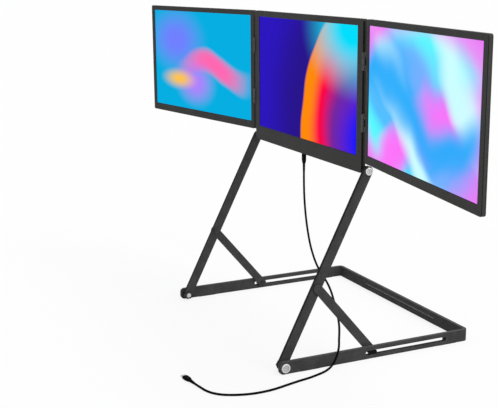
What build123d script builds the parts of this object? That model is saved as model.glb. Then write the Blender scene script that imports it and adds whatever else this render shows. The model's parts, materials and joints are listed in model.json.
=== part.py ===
from build123d import *

import os
from math import asin, cos, degrees, pi, radians, sin, sqrt, tan

# Triple-screen laptop extender: a flat U-shaped base, two propped arms and three hinged screens.
# Millimetres. +X is the user's right, +Y points away from the user, +Z is up. The origin is the
# middle of the base's footprint, on the surface it stands on.

os.makedirs("parts", exist_ok=True)

# ---- base frame, one flat bar bent into a U ----
frame_width = 417.0
frame_depth = 345.0
bar_height = 20.0
bar_thickness = 5.8
rail_end_radius = 7.0
corner_radius = 8.0
bar_edge_radius = 0.6
foot_proud = 0.6
foot_length = 34.0
foot_width = 4.0
foot_sunk = 1.0
slot_front = -22.0
slot_rear = 129.0
slot_height = 6.6
groove_length = 229.0
groove_height = 4.5
groove_depth = 2.0
groove_x = 5.5
slot_stop_radius = 1.7
slot_stop_y = 125.6
slot_stop_bottom = 3.6
slot_stop_sunk = 0.5

# ---- arms, struts and their pivots ----
arm_length = 323.0
arm_angle = 63.1
arm_width = 15.6
arm_thickness = 6.0
arm_outer_x = 198.4
arm_edge_radius = 0.5
strut_length = 150.9
strut_pivot_distance = 129.3
strut_width = 14.6
strut_thickness = 2.8
strut_inner_x = 198.8
strut_edge_radius = 0.4
bolt_radius = 4.0
bolt_head_radius = 7.2
bolt_head_thickness = 2.4
spacer_radius = 7.0
lock_nut_flats = 13.0
lock_nut_thickness = 3.0
rivet_radius = 2.5
rivet_head_radius = 5.0
rivet_head_thickness = 1.5
rivet_flange_radius = 4.5
rivet_flange_thickness = 1.0
washer_radius = 6.5
washer_thickness = 0.3
axle_radius = 3.0
axle_cap_radius = 6.0
axle_cap_thickness = 2.4
glide_length = 14.5
glide_lead = 2.1

# ---- running clearance of a pin in its hole, and the gap between faces that slide ----
pin_clearance = 0.05
face_gap = 0.1
slide_gap = 0.2

# ---- screens ----
display_width = 344.2
side_display_height = 193.6
centre_display_height = 197.0
panel_margin = 2.5
panel_thickness = 2.5
plate_thickness = 1.0
bezel_lip = 0.8
wall = 1.4
cover_wall = 1.2
cover_depth = 2.5
cover_edge_radius = 0.8
bezel_edge_radius = 0.4
screen_corner = 3.5
centre_size = (375.0, 231.5, 8.0)
side_size = (365.0, 215.0, 7.0)
screens_top = 526.0
centre_display_bottom = 319.5
side_display_bottom = 324.1
tilt_to_face = 7.4
left_yaw = 10.5
right_yaw = 8.9
screw_radius = 0.9
screw_head_radius = 2.0
screw_head_thickness = 0.7
boss_radius = 2.3

# ---- barrel hinges between the centre screen and the side screens ----
hinge_gap = 8.2
side_setback = 1.5
knuckle_radius = 3.0
hinge_pin_radius = 1.2
barrel_length = 27.0
middle_knuckle = 11.0
knuckle_gap = 0.2
hinge_heights = (372.0, 464.0)
leaf_near = 2.4
leaf_thickness = 1.2
leaf_root = 4.0
leaf_tip_gap = 0.6
leaf_slot_gap = 0.1

# ---- electronics hump along the centre screen's lower back ----
hump_width = 340.0
hump_depth = 15.2
hump_top = 330.0
hump_slope_top = 342.0
vent_size = (1.6, 14.0)
vent_pitch = 6.0
vent_count = 16
vent_x = -70.0
vent_z = 313.0

# ---- tilt hinge brackets ----
bracket_thickness = 2.5
bracket_depth = 11.4
bracket_top = 304.4
bracket_bottom = 296.0
bracket_tip_x = 155.0
bracket_pad_x = 167.0
bracket_pad_top = 315.0
barrel_radius = 6.0
barrel_inner_x = 187.7
barrel_outer_x = 192.2
bracket_screw_x = 161.0
bracket_screw_zs = (300.5, 310.5)

# ---- driver boards, sockets and buttons ----
board_thickness = 1.2
board_depth = 5.5
board_size = (306.0, 32.0)
board_z = 313.5
side_board_size = (120.0, 30.0)
port_depth = 3.57
port_x = -5.0
port_xs = (-38.0, port_x, 28.0)
button_names = ("menu_down_button", "menu_up_button", "power_button")
button_xs = (112.0, 130.0, 148.0)
button_z = 306.0
button_hole_radius = 3.6
button_side_gap = 0.3
button_proud = 0.9
button_flange_radius = 4.6
button_flange_thickness = 0.8
button_stem_radius = 1.5
button_travel = 0.6
switch_size = 5.2
switch_height = 2.3

# ---- USB-C plugs and the cable between screen and laptop ----
cable_diameter = 3.6
plug_shell = (8.25, 2.4, 6.5)
socket_shell = (8.95, 3.2, 7.4)
socket_mouth = (8.45, 2.6)
tongue = (6.6, 0.7, 4.4)
overmold = (9.6, 5.4, 16.0)
relief_length = 13.0
relief_end_radius = 2.0
plug_gap = 0.5
cable_route = [
    (-5, -20.2, 265),
    (-5, -20.2, 245),
    (0, -21.8, 216),
    (12, -24.7, 183),
    (32, -28.6, 149),
    (52, -30.8, 127),
    (70, -32.2, 114),
    (95, -31.3, 100),
    (112, -32.6, 90.5),
    (130, -36, 77),
    (160, -43, 51),
    (178, -52.5, 40),
    (190.6, -60.3, 33.8),
    (200.3, -65.6, 30.2),
    (208.7, -70.9, 27.7),
    (215.2, -76.2, 23),
    (219, -81.4, 16.3),
    (221.4, -87, 9.8),
    (223.8, -94, 5),
    (226.6, -102.5, 2.5),
    (230.2, -112.5, 1.8),
    (234, -123.5, 1.8),
    (238.6, -137.5, 1.8),
    (241.8, -155, 1.8),
    (247, -176, 1.8),
    (254.2, -202.5, 1.8),
    (256, -222, 1.8),
    (255.2, -239.6, 1.8),
    (251, -256.6, 1.8),
    (245, -271, 1.8),
    (236.5, -284, 1.8),
    (221.5, -294.5, 1.8),
    (202, -299.4, 2.7),
    (184, -301.6, 2.7),
]

# ---- places worked out from the dimensions ----
pivot_y = -frame_depth / 2 + bar_height / 2
pivot_z = foot_proud + bar_height / 2
rail_outer_x = frame_width / 2
rail_inner_x = rail_outer_x - bar_thickness
rail_middle_x = rail_outer_x - bar_thickness / 2
crossbar_middle_y = frame_depth / 2 - bar_thickness / 2
arm_inner_x = arm_outer_x - arm_thickness
arm_middle_x = arm_outer_x - arm_thickness / 2
strut_outer_x = strut_inner_x + strut_thickness
tilt_y = pivot_y + arm_length * cos(radians(arm_angle))
tilt_z = pivot_z + arm_length * sin(radians(arm_angle))
strut_y = pivot_y + strut_pivot_distance * cos(radians(arm_angle))
strut_z = pivot_z + strut_pivot_distance * sin(radians(arm_angle))
strut_angle = degrees(asin((strut_z - pivot_z) / strut_length))
strut_foot_y = strut_y + strut_length * cos(radians(strut_angle))
face_y = tilt_y - tilt_to_face
hinge_x = centre_size[0] / 2 + hinge_gap / 2
centre_bottom = screens_top - centre_size[1]
port_y = face_y + port_depth


def across(x, y=0.0, z=0.0, slope=0.0):
    """A plane facing +X, centred on a point of the side view, its own x along a slope."""
    run = (0, cos(radians(slope)), sin(radians(slope)))
    return Plane(origin=(x, y, z), x_dir=run, z_dir=(1, 0, 0))


def facing_back(x, y, z):
    """A plane facing +Y, seen from behind, its own y upwards."""
    return Plane(origin=(x, y, z), x_dir=(-1, 0, 0), z_dir=(0, 1, 0))


class Screen:
    """One screen's face plane (x right, y up, z towards the user) and its own sizes."""

    def __init__(self, name, origin, yaw, size, display_bottom, display_height):
        turn = radians(yaw)
        self.name = name
        self.width, self.height, self.thickness = size
        self.middle_z = screens_top - self.height / 2
        self.plane = Plane(
            origin=(origin[0], origin[1], self.middle_z),
            x_dir=(cos(turn), sin(turn), 0),
            z_dir=(sin(turn), -cos(turn), 0),
        )
        self.display_height = display_height
        self.window_y = display_bottom + display_height / 2 - self.middle_z
        self.split = self.thickness - cover_depth

    def at(self, depth, x=0.0, z=None):
        """A plane parallel to the face, sunk into the screen, at a sideways and a real height."""
        up = 0 if z is None else z - self.middle_z
        place = self.plane.origin + self.plane.x_dir * x + Vector(0, 0, up) - self.plane.z_dir * depth
        return Plane(origin=place, x_dir=self.plane.x_dir, z_dir=self.plane.z_dir)

    def screw_points(self):
        """Local places of the cover screws, in the borders beside the panel."""
        panel_edge = display_width / 2 + panel_margin
        x = (panel_edge + self.width / 2 - wall) / 2
        return [(side * x, z - self.middle_z) for side in (-1, 1) for z in (332.0, 418.0, 508.0)]


def side_screen(name, side, yaw):
    """A side screen hung on its hinge axis and turned inwards."""
    turn = radians(-side * yaw)
    reach = side * (hinge_gap / 2 + side_size[0] / 2)
    x = side * hinge_x + reach * cos(turn) - side_setback * sin(turn)
    y = face_y + reach * sin(turn) + side_setback * cos(turn)
    return Screen(name, (x, y), -side * yaw, side_size, side_display_bottom, side_display_height)


centre = Screen("centre", (0, face_y), 0, centre_size, centre_display_bottom, centre_display_height)
left = side_screen("left", -1, left_yaw)
right = side_screen("right", 1, right_yaw)


# ---- base ----


def foot_outlines(gap):
    """The outline of every rubber foot on the frame's underside, grown by a gap."""
    with BuildSketch(Plane.XY.offset(foot_proud)) as outlines:
        with Locations([(side * rail_middle_x, y) for side in (-1, 1) for y in (-120, 132)]):
            RectangleRounded(foot_width + 2 * gap, foot_length + 2 * gap, 1.2)
        with Locations([(x, crossbar_middle_y) for x in (-110, 110)]):
            RectangleRounded(foot_length + 2 * gap, foot_width + 2 * gap, 1.2)
    return outlines.sketch


def make_base_frame():
    run_out = bar_height
    with BuildPart() as base_frame:
        # the U in plan, left long at the front
        with BuildSketch(Plane.XY.offset(foot_proud)):
            with Locations((0, -run_out / 2)):
                RectangleRounded(frame_width, frame_depth + run_out, corner_radius)
            with Locations((0, -run_out / 2 - bar_thickness)):
                RectangleRounded(
                    frame_width - 2 * bar_thickness,
                    frame_depth + run_out,
                    corner_radius - bar_thickness,
                    mode=Mode.SUBTRACT,
                )
        extrude(amount=bar_height)
        # trimmed to rounded front ends, the outline running past the back
        with BuildSketch(across(0, run_out / 2, pivot_z)):
            RectangleRounded(frame_depth + run_out, bar_height, rail_end_radius)
        extrude(amount=frame_width, both=True, mode=Mode.INTERSECT)
        fillet(base_frame.edges().group_by(Axis.Z)[-1], bar_edge_radius)
        # pivot bores and the slots that the strut glides run in
        slot_length = slot_rear - slot_front
        with BuildSketch(across(0, pivot_y, pivot_z)):
            Circle(bolt_radius + pin_clearance)
            with Locations(((slot_front + slot_rear) / 2 - pivot_y, 0)):
                SlotOverall(slot_length, slot_height)
        extrude(amount=frame_width, both=True, mode=Mode.SUBTRACT)
        # shallow cable groove along the crossbar's inner face
        groove_start = (groove_x, frame_depth / 2 - bar_thickness, pivot_z)
        groove_plane = Plane(origin=groove_start, x_dir=(1, 0, 0), z_dir=(0, -1, 0))
        with BuildSketch(groove_plane):
            SlotOverall(groove_length, groove_height)
        extrude(amount=-groove_depth, mode=Mode.SUBTRACT)
        # blind bores from above for the pins that stop the slot glides
        with BuildSketch(Plane.XY.offset(foot_proud + bar_height)):
            with Locations([(side * rail_middle_x, slot_stop_y) for side in (-1, 1)]):
                Circle(slot_stop_radius + pin_clearance)
        extrude(amount=slot_stop_bottom - foot_proud - bar_height, mode=Mode.SUBTRACT)
        extrude(foot_outlines(face_gap), amount=foot_sunk, mode=Mode.SUBTRACT)
    base_frame.part.label = "base_frame"
    export_step(base_frame.part, "parts/base_frame.step")


def make_slot_stop_pins():
    """Upright pins across the rear ends of the rails' slots."""
    with BuildPart() as slot_stop_pins:
        with BuildSketch(Plane.XY.offset(slot_stop_bottom)):
            with Locations([(side * rail_middle_x, slot_stop_y) for side in (-1, 1)]):
                Circle(slot_stop_radius)
        extrude(amount=foot_proud + bar_height - slot_stop_sunk - slot_stop_bottom)
    slot_stop_pins.part.label = "slot_stop_pins"
    export_step(slot_stop_pins.part, "parts/slot_stop_pins.step")


def make_rubber_feet():
    with BuildPart() as rubber_feet:
        extrude(foot_outlines(0), amount=foot_sunk)
        extrude(foot_outlines(0), amount=-foot_proud)
        fillet(rubber_feet.edges().group_by(Axis.Z)[0], 0.3)
    rubber_feet.part.label = "rubber_feet"
    export_step(rubber_feet.part, "parts/rubber_feet.step")


def make_arm_pivot_hardware():
    nut_inner_x = arm_inner_x - face_gap - lock_nut_thickness
    with BuildPart() as arm_pivot_bolts:
        for side in (-1, 1):
            with BuildSketch(across(side * rail_outer_x, pivot_y, pivot_z)):
                Circle(bolt_head_radius)
            extrude(amount=side * bolt_head_thickness)
            with BuildSketch(across(side * rail_outer_x, pivot_y, pivot_z)):
                Circle(bolt_radius)
            extrude(amount=side * (nut_inner_x - 0.6 - rail_outer_x))
            # a shallow ring turned into the cap's face
            with BuildSketch(across(side * (rail_outer_x + bolt_head_thickness), pivot_y, pivot_z)):
                Circle(bolt_head_radius * 0.66)
                Circle(bolt_head_radius * 0.56, mode=Mode.SUBTRACT)
            extrude(amount=-side * 0.3, mode=Mode.SUBTRACT)
    arm_pivot_bolts.part.label = "arm_pivot_bolts"
    export_step(arm_pivot_bolts.part, "parts/arm_pivot_bolts.step")

    with BuildPart() as arm_pivot_spacers:
        for side in (-1, 1):
            with BuildSketch(across(side * rail_inner_x, pivot_y, pivot_z)):
                Circle(spacer_radius)
                Circle(bolt_radius + pin_clearance, mode=Mode.SUBTRACT)
            extrude(amount=side * (arm_outer_x + face_gap - rail_inner_x))
    arm_pivot_spacers.part.label = "arm_pivot_spacers"
    export_step(arm_pivot_spacers.part, "parts/arm_pivot_spacers.step")

    with BuildPart() as arm_pivot_lock_nuts:
        for side in (-1, 1):
            with BuildSketch(across(side * nut_inner_x, pivot_y, pivot_z)):
                RegularPolygon(lock_nut_flats / 2, 6, major_radius=False)
                Circle(bolt_radius + pin_clearance, mode=Mode.SUBTRACT)
            extrude(amount=side * lock_nut_thickness)
    arm_pivot_lock_nuts.part.label = "arm_pivot_lock_nuts"
    export_step(arm_pivot_lock_nuts.part, "parts/arm_pivot_lock_nuts.step")


# ---- arms ----


def make_arm(side, name):
    with BuildPart() as arm:
        with BuildSketch(across(side * arm_middle_x, pivot_y, pivot_z, arm_angle)):
            with Locations((arm_length / 2, 0)):
                SlotCenterToCenter(arm_length, arm_width)
        extrude(amount=arm_thickness / 2, both=True)
        outlines = arm.edges().group_by(Axis.X)
        fillet(outlines[0] + outlines[-1], arm_edge_radius)
        with BuildSketch(across(side * arm_middle_x, pivot_y, pivot_z, arm_angle)):
            Circle(bolt_radius + pin_clearance)
            with Locations((strut_pivot_distance, 0)):
                Circle(rivet_radius + pin_clearance)
            with Locations((arm_length, 0)):
                Circle(axle_radius + pin_clearance)
        extrude(amount=arm_thickness, both=True, mode=Mode.SUBTRACT)
    arm.part.label = name
    export_step(arm.part, f"parts/{name}.step")


def make_strut_pivot_rivets():
    """Rivets through arm and strut, their outer flange sunk flush into the strut."""
    with BuildPart() as strut_pivot_rivets:
        for side in (-1, 1):
            with BuildSketch(across(side * arm_inner_x, strut_y, strut_z)):
                Circle(rivet_head_radius)
            extrude(amount=-side * rivet_head_thickness)
            with BuildSketch(across(side * arm_inner_x, strut_y, strut_z)):
                Circle(rivet_radius)
            extrude(amount=side * (strut_outer_x - arm_inner_x))
            with BuildSketch(across(side * strut_outer_x, strut_y, strut_z)):
                Circle(rivet_flange_radius)
            extrude(amount=-side * rivet_flange_thickness)
    strut_pivot_rivets.part.label = "strut_pivot_rivets"
    export_step(strut_pivot_rivets.part, "parts/strut_pivot_rivets.step")

    with BuildPart() as strut_washers:
        for side in (-1, 1):
            with BuildSketch(across(side * arm_outer_x, strut_y, strut_z)):
                Circle(washer_radius)
                Circle(rivet_radius + pin_clearance, mode=Mode.SUBTRACT)
            extrude(amount=side * washer_thickness)
    strut_washers.part.label = "strut_washers"
    export_step(strut_washers.part, "parts/strut_washers.step")


def make_tilt_hinge_axles():
    axle_inner_x = barrel_inner_x + 0.2
    with BuildPart() as tilt_hinge_axles:
        for side in (-1, 1):
            with BuildSketch(across(side * arm_outer_x, tilt_y, tilt_z)):
                Circle(axle_cap_radius)
            extrude(amount=side * axle_cap_thickness)
            with BuildSketch(across(side * arm_outer_x, tilt_y, tilt_z)):
                Circle(axle_radius)
            extrude(amount=side * (axle_inner_x - arm_outer_x))
            with BuildSketch(across(side * (arm_outer_x + axle_cap_thickness), tilt_y, tilt_z)):
                Circle(axle_cap_radius * 0.66)
                Circle(axle_cap_radius * 0.56, mode=Mode.SUBTRACT)
            extrude(amount=-side * 0.3, mode=Mode.SUBTRACT)
    tilt_hinge_axles.part.label = "tilt_hinge_axles"
    export_step(tilt_hinge_axles.part, "parts/tilt_hinge_axles.step")


# ---- struts ----


def make_strut(side, name):
    middle_x = strut_inner_x + strut_thickness / 2
    with BuildPart() as strut:
        with BuildSketch(across(side * middle_x, strut_y, strut_z, -strut_angle)):
            with Locations((strut_length / 2, 0)):
                SlotCenterToCenter(strut_length, strut_width)
        extrude(amount=strut_thickness / 2, both=True)
        outlines = strut.edges().group_by(Axis.X)
        fillet(outlines[0] + outlines[-1], strut_edge_radius)
        with BuildSketch(across(side * strut_inner_x, strut_y, strut_z, -strut_angle)):
            with Locations((0, 0), (strut_length, 0)):
                Circle(rivet_radius + pin_clearance)
        extrude(amount=strut_thickness, both=True, mode=Mode.SUBTRACT)
        with BuildSketch(across(side * strut_outer_x, strut_y, strut_z, -strut_angle)):
            with Locations((0, 0), (strut_length, 0)):
                Circle(rivet_flange_radius + pin_clearance)
        extrude(amount=-side * (rivet_flange_thickness + face_gap), mode=Mode.SUBTRACT)
    strut.part.label = name
    export_step(strut.part, f"parts/{name}.step")


def make_strut_foot_pins():
    with BuildPart() as strut_foot_pins:
        for side in (-1, 1):
            with BuildSketch(across(side * strut_inner_x, strut_foot_y, pivot_z)):
                Circle(rivet_head_radius - 0.5)
            extrude(amount=-side * rivet_head_thickness)
            with BuildSketch(across(side * strut_inner_x, strut_foot_y, pivot_z)):
                Circle(rivet_radius)
            extrude(amount=side * strut_thickness)
            with BuildSketch(across(side * strut_outer_x, strut_foot_y, pivot_z)):
                Circle(rivet_flange_radius)
            extrude(amount=-side * rivet_flange_thickness)
    strut_foot_pins.part.label = "strut_foot_pins"
    export_step(strut_foot_pins.part, "parts/strut_foot_pins.step")


def make_slot_glides():
    """Plastic shoes that slide in the rails' slots under the struts' feet."""
    inner_x = strut_outer_x + slide_gap
    with BuildPart() as slot_glides:
        for side in (-1, 1):
            with BuildSketch(across(side * inner_x, strut_foot_y - glide_lead, pivot_z)):
                SlotOverall(glide_length, slot_height - 2 * slide_gap)
            extrude(amount=side * (rail_outer_x - face_gap - inner_x))
    slot_glides.part.label = "slot_glides"
    export_step(slot_glides.part, "parts/slot_glides.step")


# ---- screens: the pieces that all three share ----


def make_front_frame(screen, leaf_sides, leaf_depth):
    """Bezel and side walls in one moulding, with screw bosses and slots for the hinge leaves."""
    name = f"{screen.name}_front_frame"
    with BuildPart() as front_frame:
        with BuildSketch(screen.at(0)):
            RectangleRounded(screen.width, screen.height, screen_corner)
        extrude(amount=-screen.split)
        with BuildSketch(screen.at(bezel_lip)):
            RectangleRounded(screen.width - 2 * wall, screen.height - 2 * wall, screen_corner - wall)
        extrude(amount=-screen.split, mode=Mode.SUBTRACT)
        with BuildSketch(screen.at(0)):
            with Locations((0, screen.window_y)):
                Rectangle(display_width, screen.display_height)
        extrude(amount=-bezel_lip, mode=Mode.SUBTRACT)
        face_axis = Axis(screen.plane.origin, screen.plane.z_dir)
        fillet(front_frame.edges().group_by(face_axis)[-1], bezel_edge_radius)
        boss_end = screen.thickness - cover_wall - face_gap
        with BuildSketch(screen.at(bezel_lip)):
            with Locations(screen.screw_points()):
                Circle(boss_radius)
        extrude(amount=bezel_lip - boss_end)
        with BuildSketch(screen.at(boss_end)):
            with Locations(screen.screw_points()):
                Circle(screw_radius + pin_clearance)
        extrude(amount=boss_end - 2 * bezel_lip, mode=Mode.SUBTRACT)
        slot_depth = leaf_thickness + 2 * leaf_slot_gap
        for side in leaf_sides:
            for z in hinge_heights:
                with BuildSketch(screen.at(leaf_depth - leaf_slot_gap, side * screen.width / 2, z)):
                    Rectangle(4 * wall, barrel_length + 2 * leaf_slot_gap)
                extrude(amount=-slot_depth, mode=Mode.SUBTRACT)
        if screen is centre:
            bracket_end = bracket_depth - bracket_thickness
            heights = [z - screen.middle_z for z in bracket_screw_zs]
            bracket_points = [(side * bracket_screw_x, y) for side in (-1, 1) for y in heights]
            with BuildSketch(screen.at(bezel_lip)):
                with Locations(bracket_points):
                    Circle(boss_radius)
            extrude(amount=bezel_lip - bracket_end + face_gap)
            with BuildSketch(screen.at(bracket_end)):
                with Locations(bracket_points):
                    Circle(screw_radius + pin_clearance)
            extrude(amount=bracket_end - 2 * bezel_lip, mode=Mode.SUBTRACT)
            # mouths of the sockets in the chin's underside
            with BuildSketch(Plane.XY.offset(centre_bottom)):
                with Locations([(x, port_y) for x in port_xs]):
                    RectangleRounded(socket_shell[0] + 0.3, socket_shell[1] + 0.3, 1.6)
            extrude(amount=wall + 0.1, mode=Mode.SUBTRACT)
    front_frame.part.label = name
    export_step(front_frame.part, f"parts/{name}.step")


def make_lcd_panel(screen):
    name = f"{screen.name}_lcd_panel"
    with BuildPart() as lcd_panel:
        with BuildSketch(screen.at(bezel_lip)):
            with Locations((0, screen.window_y)):
                Rectangle(display_width + 2 * panel_margin, screen.display_height + 2 * panel_margin)
        extrude(amount=-panel_thickness)
    lcd_panel.part.label = name
    export_step(lcd_panel.part, f"parts/{name}.step")


def make_backlight_plate(screen):
    name = f"{screen.name}_backlight_plate"
    with BuildPart() as backlight_plate:
        with BuildSketch(screen.at(bezel_lip + panel_thickness)):
            with Locations((0, screen.window_y)):
                Rectangle(display_width + 2 * panel_margin, screen.display_height + 2 * panel_margin)
        extrude(amount=-plate_thickness)
    backlight_plate.part.label = name
    export_step(backlight_plate.part, f"parts/{name}.step")


def hump_outline(inset):
    """Side view of the electronics hump, shrunk by an inset."""
    flat_back = face_y + centre.thickness - 2 * inset
    deep_back = face_y + hump_depth - inset
    slope = (hump_slope_top - hump_top) / (hump_depth - centre.thickness)
    drop = inset * (sqrt(1 + slope**2) - slope)
    with BuildSketch(across(-hump_width / 2 + inset)) as outline:
        with BuildLine():
            Polyline(
                (flat_back, centre_bottom + inset),
                (deep_back, centre_bottom + inset),
                (deep_back, hump_top - drop),
                (flat_back, hump_top - drop + slope * (deep_back - flat_back)),
                close=True,
            )
        make_face()
    return outline.sketch


def make_rear_cover(screen):
    """Shallow tray behind the front frame; the centre one carries the electronics hump."""
    name = f"{screen.name}_rear_cover"
    with BuildPart() as rear_cover:
        with BuildSketch(screen.at(screen.split)):
            RectangleRounded(screen.width, screen.height, screen_corner)
        extrude(amount=-cover_depth)
        if screen is not centre:
            back_axis = Axis(screen.plane.origin, screen.plane.z_dir)
            fillet(rear_cover.edges().group_by(back_axis)[0], cover_edge_radius)
        if screen is centre:
            fillet(rear_cover.edges().group_by(Axis.Y)[-1], cover_edge_radius)
            extrude(hump_outline(0), amount=hump_width)
            hump_edges = rear_cover.edges().group_by(Axis.Y)[-1]
            fillet(hump_edges, cover_edge_radius)
        with BuildSketch(screen.at(screen.split)):
            RectangleRounded(screen.width - 2 * wall, screen.height - 2 * wall, screen_corner - wall)
        extrude(amount=cover_wall - cover_depth, mode=Mode.SUBTRACT)
        if screen is centre:
            extrude(hump_outline(wall), amount=hump_width - 2 * wall, mode=Mode.SUBTRACT)
            # openings for the buttons, the vents and the tilt brackets
            with BuildSketch(facing_back(0, face_y + hump_depth, button_z)):
                with Locations([(-x, 0) for x in button_xs]):
                    Circle(button_hole_radius)
            extrude(amount=-2 * wall, mode=Mode.SUBTRACT)
            with BuildSketch(facing_back(vent_x, face_y + hump_depth, vent_z)):
                with GridLocations(vent_pitch, 0, vent_count, 1):
                    SlotOverall(vent_size[1], vent_size[0], rotation=90)
            extrude(amount=-2 * wall, mode=Mode.SUBTRACT)
            bracket_front = bracket_depth - bracket_thickness - slide_gap
            middle_z = (bracket_top + bracket_bottom) / 2
            for side in (-1, 1):
                with BuildSketch(screen.at(bracket_front, side * hump_width / 2, middle_z)):
                    Rectangle(4 * wall, bracket_top - bracket_bottom + 2 * slide_gap)
                extrude(amount=-(bracket_thickness + 2 * slide_gap), mode=Mode.SUBTRACT)
        # countersunk screw seats
        with BuildSketch(screen.at(screen.thickness)):
            with Locations(screen.screw_points()):
                Circle(screw_head_radius + pin_clearance)
        extrude(amount=screw_head_thickness, mode=Mode.SUBTRACT)
        with BuildSketch(screen.at(screen.thickness)):
            with Locations(screen.screw_points()):
                Circle(screw_radius + pin_clearance)
        extrude(amount=2 * cover_wall, mode=Mode.SUBTRACT)
    rear_cover.part.label = name
    export_step(rear_cover.part, f"parts/{name}.step")


def make_cover_screws(screen):
    name = f"{screen.name}_cover_screws"
    with BuildPart() as cover_screws:
        with BuildSketch(screen.at(screen.thickness)):
            with Locations(screen.screw_points()):
                Circle(screw_head_radius)
        extrude(amount=screw_head_thickness)
        with BuildSketch(screen.at(screen.thickness - screw_head_thickness)):
            with Locations(screen.screw_points()):
                Circle(screw_radius)
        extrude(amount=screen.thickness - screw_head_thickness - 3 * bezel_lip)
        # a cross recess in each head
        with BuildSketch(screen.at(screen.thickness)):
            with Locations(screen.screw_points()):
                Rectangle(2.2, 0.5)
                Rectangle(0.5, 2.2)
        extrude(amount=0.5, mode=Mode.SUBTRACT)
    cover_screws.part.label = name
    export_step(cover_screws.part, f"parts/{name}.step")


def make_side_driver_board(screen):
    """Thin board on the back of a side panel's plate, with its row of chips."""
    name = f"{screen.name}_driver_board"
    start = bezel_lip + panel_thickness + plate_thickness
    board_y = -screen.height / 2 + 30
    with BuildPart() as driver_board:
        with BuildSketch(screen.at(start)):
            with Locations((0, board_y)):
                Rectangle(*side_board_size)
        extrude(amount=-0.8)
        with BuildSketch(screen.at(start + 0.8)):
            with Locations([(x, board_y) for x in (-40, 0, 40)]):
                Rectangle(12, 12)
        extrude(amount=-0.5)
    driver_board.part.label = name
    export_step(driver_board.part, f"parts/{name}.step")


# ---- centre screen's own pieces ----


def make_centre_driver_board():
    board_end = board_depth + board_thickness
    with BuildPart() as centre_driver_board:
        with BuildSketch(centre.at(board_depth, 0, board_z)):
            Rectangle(*board_size)
        extrude(amount=-board_thickness)
        with BuildSketch(centre.at(board_end, 0, board_z)):
            with Locations((-70, 2), (0, 4)):
                Rectangle(18, 18)
            with Locations([(x, -6) for x in (-120, -105, 40, 60, 80)]):
                Rectangle(8, 10)
        extrude(amount=-1.6)
    centre_driver_board.part.label = "centre_driver_board"
    export_step(centre_driver_board.part, "parts/centre_driver_board.step")


def make_usb_c_sockets():
    """Metal socket shells on the board's front edge, each with its contact tongue."""
    with BuildPart() as usb_c_sockets:
        for x in port_xs:
            with BuildSketch(Plane.XY.offset(centre_bottom + 0.2)):
                with Locations((x, port_y)):
                    RectangleRounded(socket_shell[0], socket_shell[1], socket_shell[1] / 2 - 0.05)
            extrude(amount=socket_shell[2])
            with BuildSketch(Plane.XY.offset(centre_bottom + 0.2)):
                with Locations((x, port_y)):
                    RectangleRounded(socket_mouth[0], socket_mouth[1], socket_mouth[1] / 2 - 0.05)
            extrude(amount=socket_shell[2] - 0.6, mode=Mode.SUBTRACT)
            with BuildSketch(Plane.XY.offset(centre_bottom + socket_shell[2])):
                with Locations((x, port_y)):
                    Rectangle(tongue[0], tongue[1])
            extrude(amount=-tongue[2] - 0.6)
    usb_c_sockets.part.label = "usb_c_sockets"
    export_step(usb_c_sockets.part, "parts/usb_c_sockets.step")


def make_button_switches():
    board_back = face_y + board_depth + board_thickness
    with BuildPart() as button_switches:
        for x in button_xs:
            with BuildSketch(facing_back(x, board_back, button_z)):
                RectangleRounded(switch_size, switch_size, 0.4)
            extrude(amount=switch_height)
    button_switches.part.label = "button_switches"
    export_step(button_switches.part, "parts/button_switches.step")


def make_button(name, x):
    """Round cap with a retaining flange and a stem that reaches its switch."""
    back_y = face_y + hump_depth
    flange_y = back_y - wall - slide_gap
    stem_end = face_y + board_depth + board_thickness + switch_height + button_travel + face_gap
    with BuildPart() as button:
        with BuildSketch(facing_back(x, back_y + button_proud, button_z)):
            Circle(button_hole_radius - button_side_gap)
        extrude(amount=flange_y - back_y - button_proud)
        fillet(button.edges().group_by(Axis.Y)[-1], 0.4)
        with BuildSketch(facing_back(x, flange_y, button_z)):
            Circle(button_flange_radius)
        extrude(amount=-button_flange_thickness)
        with BuildSketch(facing_back(x, stem_end, button_z)):
            Circle(button_stem_radius)
        extrude(amount=flange_y - stem_end)
    button.part.label = name
    export_step(button.part, f"parts/{name}.step")


def make_tilt_hinge_brackets():
    """Barrels on the tilt axles, each with a leaf that screws down inside the hump."""
    front_y = face_y + bracket_depth - bracket_thickness
    leaf_z = (bracket_top + bracket_bottom) / 2
    pad_z = (bracket_pad_top + bracket_bottom) / 2
    with BuildPart() as tilt_hinge_brackets:
        for side in (-1, 1):
            with BuildSketch(across(side * barrel_inner_x, tilt_y, tilt_z)):
                Circle(barrel_radius)
            extrude(amount=side * (barrel_outer_x - barrel_inner_x))
            with BuildSketch(facing_back(0, front_y, 0)):
                with Locations((-side * (bracket_tip_x + barrel_outer_x) / 2, leaf_z)):
                    Rectangle(barrel_outer_x - bracket_tip_x, bracket_top - bracket_bottom)
                with Locations((-side * (bracket_tip_x + bracket_pad_x) / 2, pad_z)):
                    Rectangle(bracket_pad_x - bracket_tip_x, bracket_pad_top - bracket_bottom)
                with Locations([(-side * bracket_screw_x, z) for z in bracket_screw_zs]):
                    Circle(screw_radius + pin_clearance, mode=Mode.SUBTRACT)
            extrude(amount=bracket_thickness)
            with BuildSketch(across(side * (barrel_inner_x - 3), tilt_y, tilt_z)):
                Circle(axle_radius + pin_clearance)
            extrude(amount=side * 12, mode=Mode.SUBTRACT)
    tilt_hinge_brackets.part.label = "tilt_hinge_brackets"
    export_step(tilt_hinge_brackets.part, "parts/tilt_hinge_brackets.step")


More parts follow.
